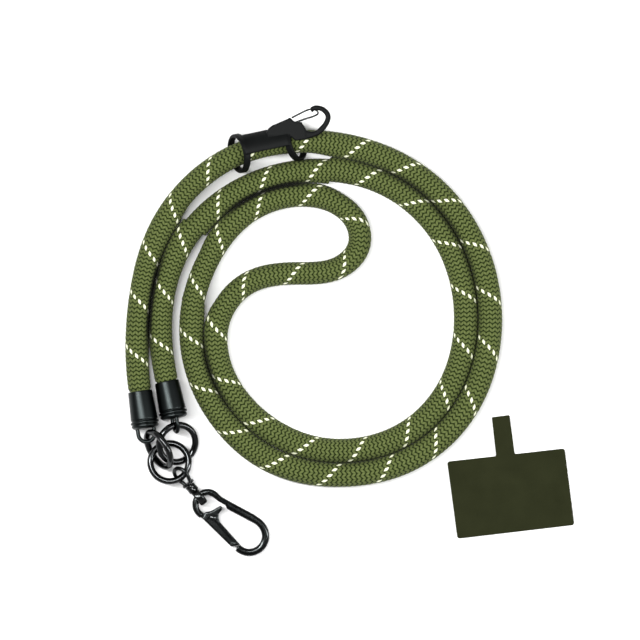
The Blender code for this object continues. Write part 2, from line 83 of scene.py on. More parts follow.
def add(tree, kind, **settings):
    node = tree.nodes.new(kind)
    for key, value in settings.items():
        setattr(node, key, value)
    return node


def math_node(tree, operation, a, b=None):
    node = add(tree, "ShaderNodeMath", operation=operation)
    for socket, value in zip(node.inputs, (a, b)):
        if value is None:
            continue
        if isinstance(value, (int, float)):
            socket.default_value = value
        else:
            tree.links.new(value, socket)
    return node.outputs[0]


def mix_colour(tree, factor, a, b):
    node = add(tree, "ShaderNodeMix", data_type="RGBA")
    for socket, value in ((node.inputs[0], factor), (node.inputs[6], a), (node.inputs[7], b)):
        if isinstance(value, tuple):
            socket.default_value = (*value, 1.0)
        elif isinstance(value, (int, float)):
            socket.default_value = value
        else:
            tree.links.new(value, socket)
    return node.outputs[2]


def new_group(name, inputs, outputs):
    """A node group with plain number sockets, and the nodes for its two ends."""
    group = bpy.data.node_groups.new(name, "ShaderNodeTree")
    for label, value in inputs.items():
        socket = group.interface.new_socket(label, in_out="INPUT", socket_type="NodeSocketFloat")
        socket.default_value = value
    for label in outputs:
        group.interface.new_socket(label, in_out="OUTPUT", socket_type="NodeSocketFloat")
    return group, group.nodes.new("NodeGroupInput"), group.nodes.new("NodeGroupOutput")


def noise(tree, scale, detail=2.0, vector=None):
    node = add(tree, "ShaderNodeTexNoise")
    if isinstance(scale, (int, float)):
        node.inputs["Scale"].default_value = scale
    else:
        tree.links.new(scale, node.inputs["Scale"])
    node.inputs["Detail"].default_value = detail
    tree.links.new(vector or tree.nodes.new("ShaderNodeTexCoord").outputs["Object"], node.inputs["Vector"])
    return node.outputs["Fac"]


COARSE_GRAIN, FINE_GRAIN, WORN_PATCHES = 90.0, 1500.0, 700.0
grain_group, values, ends = new_group(
    "fine_grain", {"Coarse Scale": COARSE_GRAIN, "Fine Scale": FINE_GRAIN}, ["Coarse", "Fine"]
)
grain_group.links.new(noise(grain_group, values.outputs["Coarse Scale"], 3.0), ends.inputs["Coarse"])
grain_group.links.new(noise(grain_group, values.outputs["Fine Scale"], 2.0), ends.inputs["Fine"])

wear_group, values, ends = new_group("edge_wear", {"Patch Scale": WORN_PATCHES}, ["Mask"])
sharp = wear_group.nodes.new("ShaderNodeNewGeometry").outputs["Pointiness"]
rise = add(wear_group, "ShaderNodeMapRange")
rise.inputs["From Min"].default_value = 0.515
rise.inputs["From Max"].default_value = 0.58
wear_group.links.new(sharp, rise.inputs["Value"])
patches = noise(wear_group, values.outputs["Patch Scale"], 3.0)
patchy = math_node(wear_group, "GREATER_THAN", patches, 0.47)
wear_group.links.new(math_node(wear_group, "MULTIPLY", rise.outputs[0], patchy), ends.inputs["Mask"])


def group_in(tree, group, **values):
    """Places a group in a material and sets the group's inputs, whose names are words with spaces."""
    node = add(tree, "ShaderNodeGroup", node_tree=group)
    for label, value in values.items():
        node.inputs[label.replace("_", " ").title()].default_value = value
    return node


def bump(tree, shader, height, distance, strength=1.0):
    node = add(tree, "ShaderNodeBump")
    node.inputs["Distance"].default_value = distance
    node.inputs["Strength"].default_value = strength
    tree.links.new(height, node.inputs["Height"])
    tree.links.new(node.outputs["Normal"], shader.inputs["Normal"])


print("groups", [g.name for g in bpy.data.node_groups])

# %% [markdown]
# ## The rope's route
# The rope keeps the line that its solid follows: points chosen along the photograph, in metres,
# rising into the slider. Only the points are kept here, and a curve joins them further down.

# %% Points of the route
CENTRE = (-0.178, -0.12)
ROPE_RADIUS = 5.5
NECK_RADIUS = 5.0
REST = 0.0055
LIFT = 0.0099
ROUTE = [
    (-0.1048, 0.0177, REST), (-0.0945, 0.0520, REST), (-0.0553, 0.0884, LIFT), (-0.0273, 0.0944, LIFT),
    (-0.0031, 0.0929, 0.0084), (0.0409, 0.0723, REST), (0.0657, 0.0343, REST), (0.0662, -0.0217, REST),
    (0.0527, -0.0467, REST), (0.0287, -0.0653, REST), (-0.0064, -0.0725, REST), (-0.0409, -0.0648, REST),
    (-0.0666, -0.0412, REST), (-0.0783, -0.0142, REST), (-0.0790, 0.0113, REST), (-0.0701, 0.0371, REST),
    (-0.0521, 0.0585, REST), (-0.0249, 0.0676, REST), (-0.0071, 0.0638, REST), (0.0033, 0.0535, REST),
    (0.0042, 0.0419, REST), (-0.0051, 0.0318, REST), (-0.0285, 0.0286, REST), (-0.0518, 0.0233, REST),
    (-0.0651, 0.0069, REST), (-0.0658, -0.0143, REST), (-0.0262, -0.0559, REST), (0.0035, -0.0592, REST),
    (0.0310, -0.0488, REST), (0.0499, -0.0269, REST), (0.0575, 0.0071, REST), (0.0463, 0.0469, REST),
    (0.0201, 0.0717, REST), (-0.0153, 0.0803, REST), (-0.0550, 0.0704, REST), (-0.0817, 0.0467, REST),
    (-0.0937, 0.0153, REST),
]
print("route points", len(ROUTE))

# %% [markdown]
# ## Where the caps sit
# Both ends of the rope run straight into a cap, so the caps come first. A cap lies on its wide lip, which
# leans it a little, and its eye is rolled about its own axis.


# %% Places of the caps
# Where each cap's mouth is, its turn on the table and its eye's roll, in degrees.
CAPS = {"left": ((-105.05, -30.35), 8.5, 0.0), "right": ((-91.7, -25.5), 11.5, 74.0)}
CAP_MOUTH, CAP_LIP, CAP_LIP_AT = ROPE_RADIUS + 0.55, ROPE_RADIUS + 1.6, 15.8


def placement(origin, along, across):
    """A frame at origin, in mm, whose Z runs along and whose X is as near across as it can be."""
    z = Vector(along).normalized()
    x = Vector(across)
    x = (x - z * x.dot(z)).normalized()
    made = Matrix((x, z.cross(x), z)).transposed().to_4x4()
    made.translation = Vector((origin[0] - CENTRE[0], origin[1] - CENTRE[1], origin[2])) * MM
    return made


def cap_placement(side):
    """The cap's frame: Z runs from its mouth to its eye, and X lies across the eye."""
    mouth, turn_deg, roll_deg = CAPS[side]
    lean = math.atan2(CAP_LIP - CAP_MOUTH, CAP_LIP_AT)
    turn, roll = math.radians(turn_deg), math.radians(roll_deg)
    way = Vector((math.sin(turn), -math.cos(turn), math.tan(lean)))
    level = Vector((0, 0, 1)).cross(way).normalized()
    raised = way.normalized().cross(level)
    across = level * math.cos(roll) + raised * math.sin(roll)
    return placement((*mouth, CAP_MOUTH / math.cos(lean) + 0.01), way, across)


cap_frames = {side: cap_placement(side) for side in CAPS}
print("cap leans", round(math.degrees(math.atan2(CAP_LIP - CAP_MOUTH, CAP_LIP_AT)), 1), "degrees")

# %% [markdown]
# ## A smooth curve through the points
# A stiff rope bends evenly, so its line is a curve with steady curvature through the points. Its height
# takes a gentler rule, which never rises above or dips below the points on either side.


# %% Curve of the rope
def through(points, start_way, end_way, samples):
    """A curve with steady curvature through the points."""
    points = np.array(points, float)
    at = np.r_[0, np.cumsum(np.linalg.norm(np.diff(points[:, :2], axis=0), axis=1))]
    step = np.diff(at)
    slope = np.diff(points, axis=0) / step[:, None]
    count = len(points)
    grid = np.eye(count)
    right = np.zeros_like(points)
    right[0], right[-1] = start_way, end_way
    for k in range(1, count - 1):
        grid[k, k - 1 : k + 2] = step[k], 2 * (step[k - 1] + step[k]), step[k - 1]
        right[k] = 3 * (step[k] * slope[k - 1] + step[k - 1] * slope[k])
    ways = np.linalg.solve(grid, right)
    for k in range(1, count - 1):
        a, b = slope[k - 1, 2], slope[k, 2]
        ways[k, 2] = 0 if a * b <= 0 else 2 * a * b / (a + b)
    where = np.linspace(0, at[-1], samples)
    k = np.clip(np.searchsorted(at, where, side="right") - 1, 0, count - 2)
    t, h = ((where - at[k]) / step[k])[:, None], step[k][:, None]
    line = (2 * t**3 - 3 * t**2 + 1) * points[k] + (t**3 - 2 * t**2 + t) * h * ways[k]
    return line + (3 * t**2 - 2 * t**3) * points[k + 1] + (t**3 - t**2) * h * ways[k + 1]


def along_cap(side, distance):
    return np.array(cap_frames[side] @ Vector((0, 0, distance * MM))) / MM


route = [(x / MM - CENTRE[0], y / MM - CENTRE[1], z / MM) for x, y, z in ROUTE]
ways = [np.array(cap_frames[side].to_3x3() @ Vector((0, 0, 1))) for side in ("left", "right")]
middle = through([along_cap("left", -1.2), *route, along_cap("right", -1.2)], -ways[0], ways[1], 6000)
middle[:, 2] = np.maximum(middle[:, 2], ROPE_RADIUS + 0.02)
# The rope's two ends run straight on into the caps, this deep.
SOCKET = 5.65
starts = [along_cap("left", s) for s in np.linspace(SOCKET, -1.0, 12)]
finishes = [along_cap("right", s) for s in np.linspace(-1.0, SOCKET, 12)]
middle = np.vstack([starts, middle, finishes])
travel = np.r_[0, np.cumsum(np.linalg.norm(np.diff(middle, axis=0), axis=1))]
ROPE_LENGTH = travel[-1]
print("rope length mm", round(ROPE_LENGTH, 1))

# %% [markdown]
# ## The pitch of the braid
# Twelve yarns wind one way and twelve the other, and one of them is cream and shows as a dotted spiral.
# The braid is a little longer in some places than in others, as bending draws it out. BANDS gives where
# some of the cream bands cross the top of the rope: the distance along it, in mm, and how many before.

# %% Rows of the braid
YARNS = 12
TRACER = 9
SWELL = 0.38
VISIBLE_RADIUS = 5.70
BANDS = [
    (-2.9, -1), (23.5, 0), (50.7, 1), (75.1, 2), (126.9, 4), (204.2, 7), (257.3, 9), (336.0, 12),
    (420.4, 15), (477.6, 17), (686.6, 25), (712.7, 26), (1239.1, 46), (1265.5, 47),
]
band_at, band_turns = np.array(BANDS).T
band_turns = band_turns + 0.5 / YARNS

first_turn, last_turn = np.interp([0, ROPE_LENGTH], band_at, band_turns)
rows = int((last_turn - first_turn) * 3 * YARNS)
turns = first_turn + np.arange(rows + 1) / (3 * YARNS)
at = np.interp(turns, band_turns, band_at)
line = np.stack([np.interp(at, travel, middle[:, i]) for i in range(3)], axis=1)
way = np.gradient(line, axis=0)
way /= np.linalg.norm(way, axis=1)[:, None]
# One steady frame along the rope: sideways is level, so the braid doesn't twist with the route.
sideways = np.cross(way, [0.0, 0.0, 1.0])
sideways /= np.linalg.norm(sideways, axis=1)[:, None]
upward = np.cross(sideways, way)
near_end = np.minimum(at, ROPE_LENGTH - at)
base = np.interp(near_end, [SOCKET + 0.35, SOCKET + 1.3], [NECK_RADIUS - 0.1, VISIBLE_RADIUS])

print("turns of the braid", round(float(last_turn - first_turn), 1))

# %% [markdown]
# ## Where two lengths touch
# The rope is soft, so where two lengths lie side by side it presses out sideways until they meet. For
# each row, the nearest other length of the rope gives the way to press and how far. Close to the caps the
# lengths stay apart.

# %% Pressed together
far_along = np.abs(at[:, None] - at[None, ::4]) > 45.0
apart = np.linalg.norm(line[:, None, :] - line[None, ::4, :], axis=2)
apart = np.where(far_along, apart, 99.0)
neighbour = apart.argmin(axis=1)
near_by = apart.min(axis=1)
toward = line[::4][neighbour] - line
toward /= np.linalg.norm(toward, axis=1)[:, None]
press = np.clip((14.8 - near_by) / 0.6, 0, 1) * np.clip(near_by / 2 - VISIBLE_RADIUS + 0.02, 0, 1.8)
press *= np.clip((near_end - 16.0) / 12.0, 0, 1)
press = np.convolve(press, np.ones(15) / 15, mode="same")
print("rows pressed together", int((press > 0.05).sum()), "of", rows + 1)

# %% [markdown]
# ## The braid's surface
# Each yarn shows as short slanting floats, in columns along the rope that lean left and right in turn, so
# the gaps between the floats make zigzags round it. The mesh has two points across each column and three
# along each float, enough to give the floats their swell. Its UV map holds the two yarn counts, and the
# crease value tells the shader where little light gets in.

# %% Mesh of the rope
per_row = 4 * YARNS
turn = np.arange(per_row) / per_row
a = 2 * math.pi * turn
touching = np.clip((13.0 - near_by) / 1.2, 0, 1)
points, places, creases = [], [], []
for r in range(rows + 1):
    left, right = YARNS * (turns[r] - turn), YARNS * (turns[r] + turn)
    in_left = 0.5 + 0.5 * np.cos(math.pi * (left - right))
    gap_left = np.abs(2 * (left % 1.0) - 1) ** 2.6
    gap_right = np.abs(2 * ((right + 0.5) % 1.0) - 1) ** 2.6
    out = np.cos(a)[:, None] * sideways[r] + np.sin(a)[:, None] * upward[r]
    bulge = press[r] * np.maximum(out @ toward[r], 0) ** 1.5
    radius = base[r] + bulge - SWELL * (in_left * gap_left + (1 - in_left) * gap_right)
    points.append(line[r] + radius[:, None] * out)
    creases.append(touching[r] * np.clip((out @ toward[r] - 0.66) / 0.2, 0, 1))
    places.append(np.stack([left, right], axis=1))
points = np.concatenate(points) * MM
# The rope rests on the table, so its underside is pressed flat.
points[:, 2] = np.maximum(points[:, 2], 0.00002)
places = np.concatenate(places)
faces, uvs = [], []
for r in range(rows):
    for k in range(per_row):
        for row, col in (r, k), (r, k + 1), (r + 1, k + 1), (r + 1, k):
            l, q = places[row * per_row + col % per_row]
            over = YARNS * (col // per_row)
            uvs.append((l - over, q + over))
        k_next = (k + 1) % per_row
        here, there = r * per_row, (r + 1) * per_row
        faces.append([here + k, here + k_next, there + k_next, there + k])
rope_mesh = bpy.data.meshes.new("rope_braid")
rope_mesh.from_pydata(points.tolist(), [], faces)
layer = rope_mesh.uv_layers.new(name="yarns")
layer.data.foreach_set("uv", np.array(uvs, np.float32).ravel())
crease = rope_mesh.attributes.new("crease", "FLOAT", "POINT")
crease.data.foreach_set("value", np.concatenate(creases).astype(np.float32))
rope_mesh.shade_smooth()
rope = bpy.data.objects.new("rope_braid", rope_mesh)
scene.collection.objects.link(rope)
print("rope faces", len(faces), "rows", rows)

# %% [markdown]
# ## The rope's yarn
# The shader finds its column from the two yarn counts, and so the float that it is on. The colour
# is painted darker into the gaps between floats as painted shade, and thin filaments run along each yarn.


# %% Rope material
def rope_material():
    made, tree, shader = tree_of("braided_yarn", 0.82)
    uv = add(tree, "ShaderNodeUVMap", uv_map="yarns")
    parts = add(tree, "ShaderNodeSeparateXYZ")
    tree.links.new(uv.outputs[0], parts.inputs[0])
    left, right = parts.outputs[0], math_node(tree, "ADD", parts.outputs[1], 0.5)

    def across(value):
        doubled = math_node(tree, "MULTIPLY", math_node(tree, "FRACT", value), 2.0)
        return math_node(tree, "ABSOLUTE", math_node(tree, "SUBTRACT", doubled, 1.0))

    def choose(factor, a, b):
        node = add(tree, "ShaderNodeMix")
        for socket, value in zip(node.inputs[:1] + node.inputs[2:4], (factor, a, b)):
            tree.links.new(value, socket)
        return node.outputs[0]

    round_it = math_node(tree, "MULTIPLY", math_node(tree, "SUBTRACT", left, parts.outputs[1]), math.pi)
    wave = math_node(tree, "MULTIPLY", math_node(tree, "COSINE", round_it), 0.5)
    in_left = math_node(tree, "ADD", wave, 0.5)
    is_left = math_node(tree, "GREATER_THAN", in_left, 0.5)
    from_middle = choose(is_left, across(right), across(left))
    gap = math_node(tree, "POWER", from_middle, 2.4)
    # Between two columns the floats sink a little.
    off_border = math_node(tree, "ABSOLUTE", math_node(tree, "SUBTRACT", in_left, 0.5))
    near_border = math_node(tree, "SUBTRACT", 1.0, math_node(tree, "MULTIPLY", off_border, 2.0))
    sunk = math_node(tree, "MULTIPLY", math_node(tree, "POWER", near_border, 2.0), 0.35)
    float_top = math_node(tree, "SUBTRACT", math_node(tree, "SUBTRACT", 1.0, gap), sunk)
    dome = math_node(tree, "MAXIMUM", float_top, 0.0)
    left_cell = math_node(tree, "FLOOR", left)
    yarn_number = choose(is_left, math_node(tree, "FLOOR", right), left_cell)
    cross_at = choose(is_left, math_node(tree, "FRACT", right), math_node(tree, "FRACT", left))
    along_at = choose(is_left, left, right)
    stretch = add(tree, "ShaderNodeCombineXYZ")
    tree.links.new(math_node(tree, "MULTIPLY", cross_at, 7.0), stretch.inputs[0])
    tree.links.new(math_node(tree, "MULTIPLY", along_at, 0.9), stretch.inputs[1])
    tree.links.new(math_node(tree, "MULTIPLY", yarn_number, 3.7), stretch.inputs[2])
    filaments = add(tree, "ShaderNodeTexNoise")
    filaments.inputs["Scale"].default_value = 1.6
    filaments.inputs["Detail"].default_value = 3.0
    tree.links.new(stretch.outputs[0], filaments.inputs["Vector"])

    # Painted shade: the colour runs from near black in the gaps between floats to light on the float tops.
    tone = add(tree, "ShaderNodeValToRGB")
    ramp = tone.color_ramp
    ramp.elements[0].position, ramp.elements[0].color = 0.08, (0.006, 0.011, 0.002, 1)
    ramp.elements[1].position, ramp.elements[1].color = 0.92, (0.122, 0.147, 0.054, 1)
    step = ramp.elements.new(0.5)
    step.color = (0.062, 0.081, 0.025, 1)
    tree.links.new(dome, tone.inputs[0])
    spread = math_node(tree, "ADD", math_node(tree, "MULTIPLY", filaments.outputs["Fac"], 0.9), 0.55)
    shaded = add(tree, "ShaderNodeVectorMath", operation="SCALE")
    tree.links.new(tone.outputs[0], shaded.inputs[0])
    tree.links.new(spread, shaded.inputs["Scale"])

    off_tracer = math_node(tree, "SUBTRACT", math_node(tree, "FLOORED_MODULO", left_cell, YARNS), TRACER)
    on_tracer = math_node(tree, "LESS_THAN", math_node(tree, "ABSOLUTE", off_tracer), 0.5)
    tracer = math_node(tree, "MULTIPLY", on_tracer, is_left)
    # The cream tracer gets the same painted shade, darker toward the gaps between floats.
    bright = math_node(tree, "POWER", dome, 0.5)
    cream = mix_colour(tree, bright, (0.30, 0.31, 0.20), (0.84, 0.86, 0.66))
    colour = mix_colour(tree, tracer, shaded.outputs[0], cream)
    # Little light gets into the crease between two lengths.
    in_crease = add(tree, "ShaderNodeAttribute", attribute_name="crease").outputs["Fac"]
    darkened = math_node(tree, "MULTIPLY", in_crease, 0.9)
    colour = mix_colour(tree, darkened, colour, (0.003, 0.004, 0.002))
    tree.links.new(colour, shader.inputs["Base Color"])
    shader.inputs["Sheen Weight"].default_value = 0.05
    shader.inputs["Sheen Roughness"].default_value = 0.4
    shader.inputs["Specular IOR Level"].default_value = 0.12
    height = math_node(tree, "ADD", dome, math_node(tree, "MULTIPLY", filaments.outputs["Fac"], 0.35))
    bump(tree, shader, height, 0.00035, 0.9)
    return made


rope_mesh.materials.append(rope_material())
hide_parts("rope")
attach(rope, "strap")
print("rope done, faces", len(rope_mesh.polygons))

# %% [markdown]
# ## Shape helpers
# Turned pieces, bent wires, flat plates and flat bars cover all the hardware, and each is a row of
# sections with a skin over them. One function makes the skin, so the others only work out sections.


# %% Skin a row of sections
def solid(name, rings, wrap, where):
    """A closed mesh through rings of points in mm, capped at its ends unless it wraps round."""
    mesh = bpy.data.meshes.new(name)
    count = len(rings[0])
    points = [tuple(MM * float(v) for v in point) for ring in rings for point in ring]
    faces = []
    for k in range(len(rings) if wrap else len(rings) - 1):
        here, there = k * count, ((k + 1) % len(rings)) * count
        for i in range(count):
            j = (i + 1) % count
            faces.append((here + i, here + j, there + j, there + i))
    if not wrap:
        faces += [tuple(range(count)), tuple(range(len(points) - count, len(points)))]
    mesh.from_pydata(points, [], faces)
    shape = bmesh.new()
    shape.from_mesh(mesh)
    bmesh.ops.recalc_face_normals(shape, faces=shape.faces)
    shape.transform(where)
    shape.to_mesh(mesh)
    shape.free()
    made = bpy.data.objects.new(name, mesh)
    scene.collection.objects.link(made)
    mesh.shade_smooth()
    mesh.set_sharp_from_angle(angle=math.radians(40))
    return made


print("skin ready")

# %% [markdown]
# ## Turned pieces and wires
# A lathe rounds every corner a little, and so does this profile helper. A wire keeps a round section,
# square to its path. Points round a centre come up all the time, so they have a helper as well.


# %% Turned pieces and wires
def polar(reach, degrees, centre=(0.0, 0.0)):
    a = math.radians(degrees)
    return centre[0] + reach * math.cos(a), centre[1] + reach * math.sin(a)


def rounded_profile(profile, radius=0.12, steps=3):
    """Rounds the corners of a (height, radius) profile a little."""
    made = [profile[0]]
    for before, corner, after in zip(profile, profile[1:], profile[2:]):
        a, c, b = np.array(before), np.array(corner), np.array(after)
        back, ahead = np.linalg.norm(a - c), np.linalg.norm(b - c)
        cut = min(radius, back * 0.45, ahead * 0.45)
        start, end = c + (a - c) / back * cut, c + (b - c) / ahead * cut
        for t in np.linspace(0, 1, steps):
            made.append(tuple(start * (1 - t) ** 2 + c * 2 * t * (1 - t) + end * t**2))
    return made + [profile[-1]]


def turned(name, profile, where, steps=72, wrap=False):
    """A turned piece from a profile of (height, radius) points."""
    angles = [2 * math.pi * i / steps for i in range(steps)]
    rings = [[(r * math.cos(a), r * math.sin(a), s) for a in angles] for s, r in profile]
    return solid(name, rings, wrap, where)


def wire(name, path, radius, where, sides=24, closed=False):
    """A round wire along a path of (across, along) points."""
    points = np.array(path, float)
    rings = []
    for k, point in enumerate(points):
        before = points[k - 1] if k or closed else point
        after = points[(k + 1) % len(points)] if k + 1 < len(points) or closed else point
        way = (after - before) / np.linalg.norm(after - before)
        ring = []
        for i in range(sides):
            a = 2 * math.pi * i / sides
            side = radius * math.cos(a)
            ring.append((point[0] + way[1] * side, radius * math.sin(a), point[1] - way[0] * side))
        rings.append(ring)
    return solid(name, rings, closed, where)


print("lathe and wire ready")

# %% [markdown]
# ## Plates and bars
# A plate is cut from sheet and its edges are rounded, so its outline moves in at the top and bottom. A
# bar follows a path with a width at each point, and its section has four round corners.


# %% Plates and bars
def inset(outline, depth):
    """The outline moved inward by depth, with each edge kept parallel."""
    points = np.array(outline, float)
    left = []
    for edge in (points - np.roll(points, 1, axis=0), np.roll(points, -1, axis=0) - points):
        way = edge / np.linalg.norm(edge, axis=1)[:, None]
        left.append(np.stack([-way[:, 1], way[:, 0]], axis=1))
    reach = np.maximum(1.0 + (left[0] * left[1]).sum(axis=1), 0.5)
    return points + depth * (left[0] + left[1]) / reach[:, None]


def plate(name, outline, low, high, round_by, where, steps=4):
    """A flat plate between two heights, with its edges rounded by round_by."""
    levels = []
    for i in range(steps + 1):
        a = math.pi / 2 * i / steps
        levels.append((inset(outline, round_by * (1 - math.sin(a))), low + round_by * (1 - math.cos(a))))
    for i in range(steps + 1):
        a = math.pi / 2 * i / steps
        levels.append((inset(outline, round_by * (1 - math.cos(a))), high - round_by * (1 - math.sin(a))))
    rings = [[(x, y, z) for x, y in points] for points, z in levels]
    return solid(name, rings, False, where)


def bar(name, path, low, high, round_by, where, last_across=None):
    """A flat bar along a path of (x, y, width), between two heights."""
    points = np.array(path, float)
    rings = []
    corner = [math.pi / 2 * i / 4 for i in range(5)]
    for k, (x, y, width) in enumerate(points):
        way = points[min(k + 1, len(points) - 1), :2] - points[max(k - 1, 0), :2]
        way = way / np.linalg.norm(way)
        across = np.array([-way[1], way[0]])
        if last_across is not None and k == len(points) - 1:
            across = np.array(last_across)
        half, r = width / 2, round_by
        section = [(-half + r - r * math.cos(a), low + r - r * math.sin(a)) for a in corner]
        section += [(half - r + r * math.sin(a), low + r - r * math.cos(a)) for a in corner]
        section += [(half - r + r * math.cos(a), high - r + r * math.sin(a)) for a in corner]
        section += [(-half + r - r * math.sin(a), high - r + r * math.cos(a)) for a in corner]
        rings.append([(x + across[0] * u, y + across[1] * u, z) for u, z in section])
    return solid(name, rings, False, where)


print("plate and bar ready")

# %% [markdown]
# ## Fusing and dressing
# A cast or moulded piece is built of a few of these shapes, fused through a fine grid and smoothed, which
# rounds every joint as a mould does. Each finished piece then takes its finish and its body, and the solids
# it stands for are hidden.


# %% Fusing and dressing
def joined(name, pieces):
    """Several meshes as one, without fusing their surfaces."""
    shape = bmesh.new()
    for piece in pieces:
        shape.from_mesh(piece.data)
    mesh = bpy.data.meshes.new(name)
    shape.to_mesh(mesh)
    shape.free()
    for piece in pieces:
        bpy.data.objects.remove(piece, do_unlink=True)
    made = bpy.data.objects.new(name, mesh)
    scene.collection.objects.link(made)
    mesh.shade_smooth()
    mesh.set_sharp_from_angle(angle=math.radians(40))
    return made


def moulded(piece, voxel, rounds, cutters=()):
    """Fuses what a piece is made of and smooths its joints, as casting does."""
    for cutter in cutters:
        cut = piece.modifiers.new("cut", "BOOLEAN")
        cut.operation, cut.solver, cut.object = "DIFFERENCE", "EXACT", cutter
        cut.use_self = True
    fuse = piece.modifiers.new("fuse", "REMESH")
    fuse.mode, fuse.voxel_size = "VOXEL", voxel * MM
    fuse.use_smooth_shade = True
    soften = piece.modifiers.new("soften", "SMOOTH")
    soften.factor, soften.iterations = 0.5, rounds
    graph = bpy.context.evaluated_depsgraph_get()
    mesh = bpy.data.meshes.new_from_object(piece.evaluated_get(graph))
    piece.modifiers.clear()
    piece.data = mesh
    for cutter in cutters:
        bpy.data.objects.remove(cutter, do_unlink=True)
    mesh.shade_smooth()
    print(piece.name, "faces", len(mesh.polygons))
    return piece


def dress(piece, nodes, body, look):
    """Gives a piece its finish, hides the solids it stands for, and hangs it on the body that carries it.
    """
    piece.data.materials.clear()
    piece.data.materials.append(look)
    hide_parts(*nodes)
    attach(piece, body)


print("fusing ready")

# %% [markdown]
# ## Metal, plastic and cloth finishes
# The clip and swivel are black plating with a faint grain and thin bright wear at the edges, and the caps
# the same plating with a softer shine. The rings are glossier steel. The slider is dull plastic, with the
# very fine mottle of a mould. One function makes every metal, so a new plating is one more line.


# %% Finishes
def metal(name, colour, roughness, wear_colour, wear_amount):
    made, tree, shader = tree_of(name, roughness, 1.0)
    grain = group_in(tree, grain_group, coarse_scale=COARSE_GRAIN, fine_scale=FINE_GRAIN)
    wear = group_in(tree, wear_group, patch_scale=WORN_PATCHES)
    mask = math_node(tree, "MULTIPLY", wear.outputs["Mask"], wear_amount)
    tree.links.new(mix_colour(tree, mask, colour, wear_colour), shader.inputs["Base Color"])
    mottle = math_node(tree, "MULTIPLY", grain.outputs["Coarse"], 0.14)
    rough = math_node(tree, "ADD", mottle, roughness - 0.07)
    tree.links.new(rough, shader.inputs["Roughness"])
    bump(tree, shader, grain.outputs["Fine"], 0.00002, 0.35)
    return made


def plastic(name, colour, roughness):
    made, tree, shader = tree_of(name, roughness)
    grain = group_in(tree, grain_group, coarse_scale=COARSE_GRAIN, fine_scale=FINE_GRAIN)
    lighter = tuple(c * 1.7 + 0.004 for c in colour)
    tree.links.new(mix_colour(tree, grain.outputs["Coarse"], colour, lighter), shader.inputs["Base Color"])
    mottle = math_node(tree, "MULTIPLY", grain.outputs["Coarse"], 0.12)
    rough = math_node(tree, "ADD", mottle, roughness - 0.06)
    tree.links.new(rough, shader.inputs["Roughness"])
    bump(tree, shader, grain.outputs["Fine"], 0.00004, 0.5)
    shader.inputs["Specular IOR Level"].default_value = 0.1
    return made


black_metal = metal("black_plating", (0.036, 0.039, 0.039), 0.19, (0.20, 0.20, 0.20), 0.4)
cap_black = metal("satin_black", (0.026, 0.030, 0.030), 0.33, (0.10, 0.10, 0.10), 0.3)
gunmetal = metal("gunmetal", (0.048, 0.050, 0.051), 0.14, (0.25, 0.25, 0.25), 0.3)
black_plastic = plastic("moulded_plastic", (0.004, 0.0046, 0.0046), 0.45)
print("finishes", [m.name for m in (black_metal, cap_black, gunmetal, black_plastic)])

# %% [markdown]
# ## End caps
# Each cap is turned: a cup with a rolled mouth, a slight flare, and two lips at the base. A wire eye is
# soldered into the base, one lying flat and the other almost upright.

# %% End caps
EYE_HALF_WIDTH, EYE_FOOT_AT, EYE_BEND_AT, EYE_WIRE = 4.1, 17.0, 21.4, 1.0


def hairpin(half_width, foot_at, bend_at, steps):
    """Two straight legs and a half circle between them, as (across, along)."""
    legs = [(half_width, foot_at), (half_width, foot_at + 2.0), (half_width, bend_at)]
    turns = [math.pi * i / steps for i in range(1, steps)]
    bend = [(half_width * math.cos(a), bend_at + half_width * math.sin(a)) for a in turns]
    return legs + bend + [(-x, s) for x, s in reversed(legs)]


for side in ("left", "right"):
    m, lip = CAP_MOUTH, CAP_LIP
    # Distance from the mouth, then radius: the socket's wall, the flare and the two lips.
    profile = [
        (6.0, 5.45), (0.2, 5.45), (0.0, m - 0.3), (0.15, m - 0.07), (0.45, m), (7.0, m + 0.33),
        (14.0, m + 0.7), (14.4, m + 0.65), (14.6, m + 0.35), (15.0, m + 0.38), (15.3, lip - 0.15),
        (15.55, lip), (16.05, lip), (16.3, lip - 0.15), (16.5, lip - 0.65), (16.8, lip - 0.65),
        (17.05, lip - 0.32), (17.7, lip - 0.32), (18.3, lip - 0.8), (18.8, lip - 1.6),
    ]
    cup = turned("cup", rounded_profile(profile), cap_frames[side])
    path = hairpin(EYE_HALF_WIDTH, EYE_FOOT_AT, EYE_BEND_AT, 30)
    eye = wire("eye", path, EYE_WIRE, cap_frames[side])
    cap = joined("end_cap_" + side, [cup, eye])
    dress(cap, ["cap_" + side], "strap", cap_black)
    print(cap.name, "faces", len(cap.data.polygons))

# %% [markdown]
# ## Rings
# Plain round steel rings, each bent from wire. The joint where a ring closes is too fine to show here.
# Each needs only its centre and the way that it faces, and they hang in each other as the solids do.

# %% Rings
RING_RADIUS, RING_WIRE = 9.55, 1.62
RINGS = {
    "ring_1": ((-86.43, -56.42, 5.53), (0.372, -0.257, 1.0)),
    "ring_2": ((-90.34, -65.8, 5.59), (0.0, 0.104, 1.0)),
    "ring_3": ((-95.72, -59.34, 10.20), (0.837, 0.474, -0.466)),
}
for name, (centre, facing) in RINGS.items():
    across = Vector(facing).cross(Vector((0, 1, 0.01)))
    where = placement(centre, Vector(facing).cross(across), across)
    turns = np.linspace(0, 2 * math.pi, 96, endpoint=False)
    path = [(RING_RADIUS * math.cos(a), RING_RADIUS * math.sin(a)) for a in turns]
    ring = wire("steel_" + name, path, RING_WIRE, where, closed=True)
    dress(ring, [name], "strap", gunmetal)
print("rings done")

# %% [markdown]
# ## Swivel stem
# The stem's U-shaped eye hangs on the middle ring, and its pin runs into the barrel. The collar and pin
# are turned as one, and the eye's wire is bent wider than its feet, as the real one is.

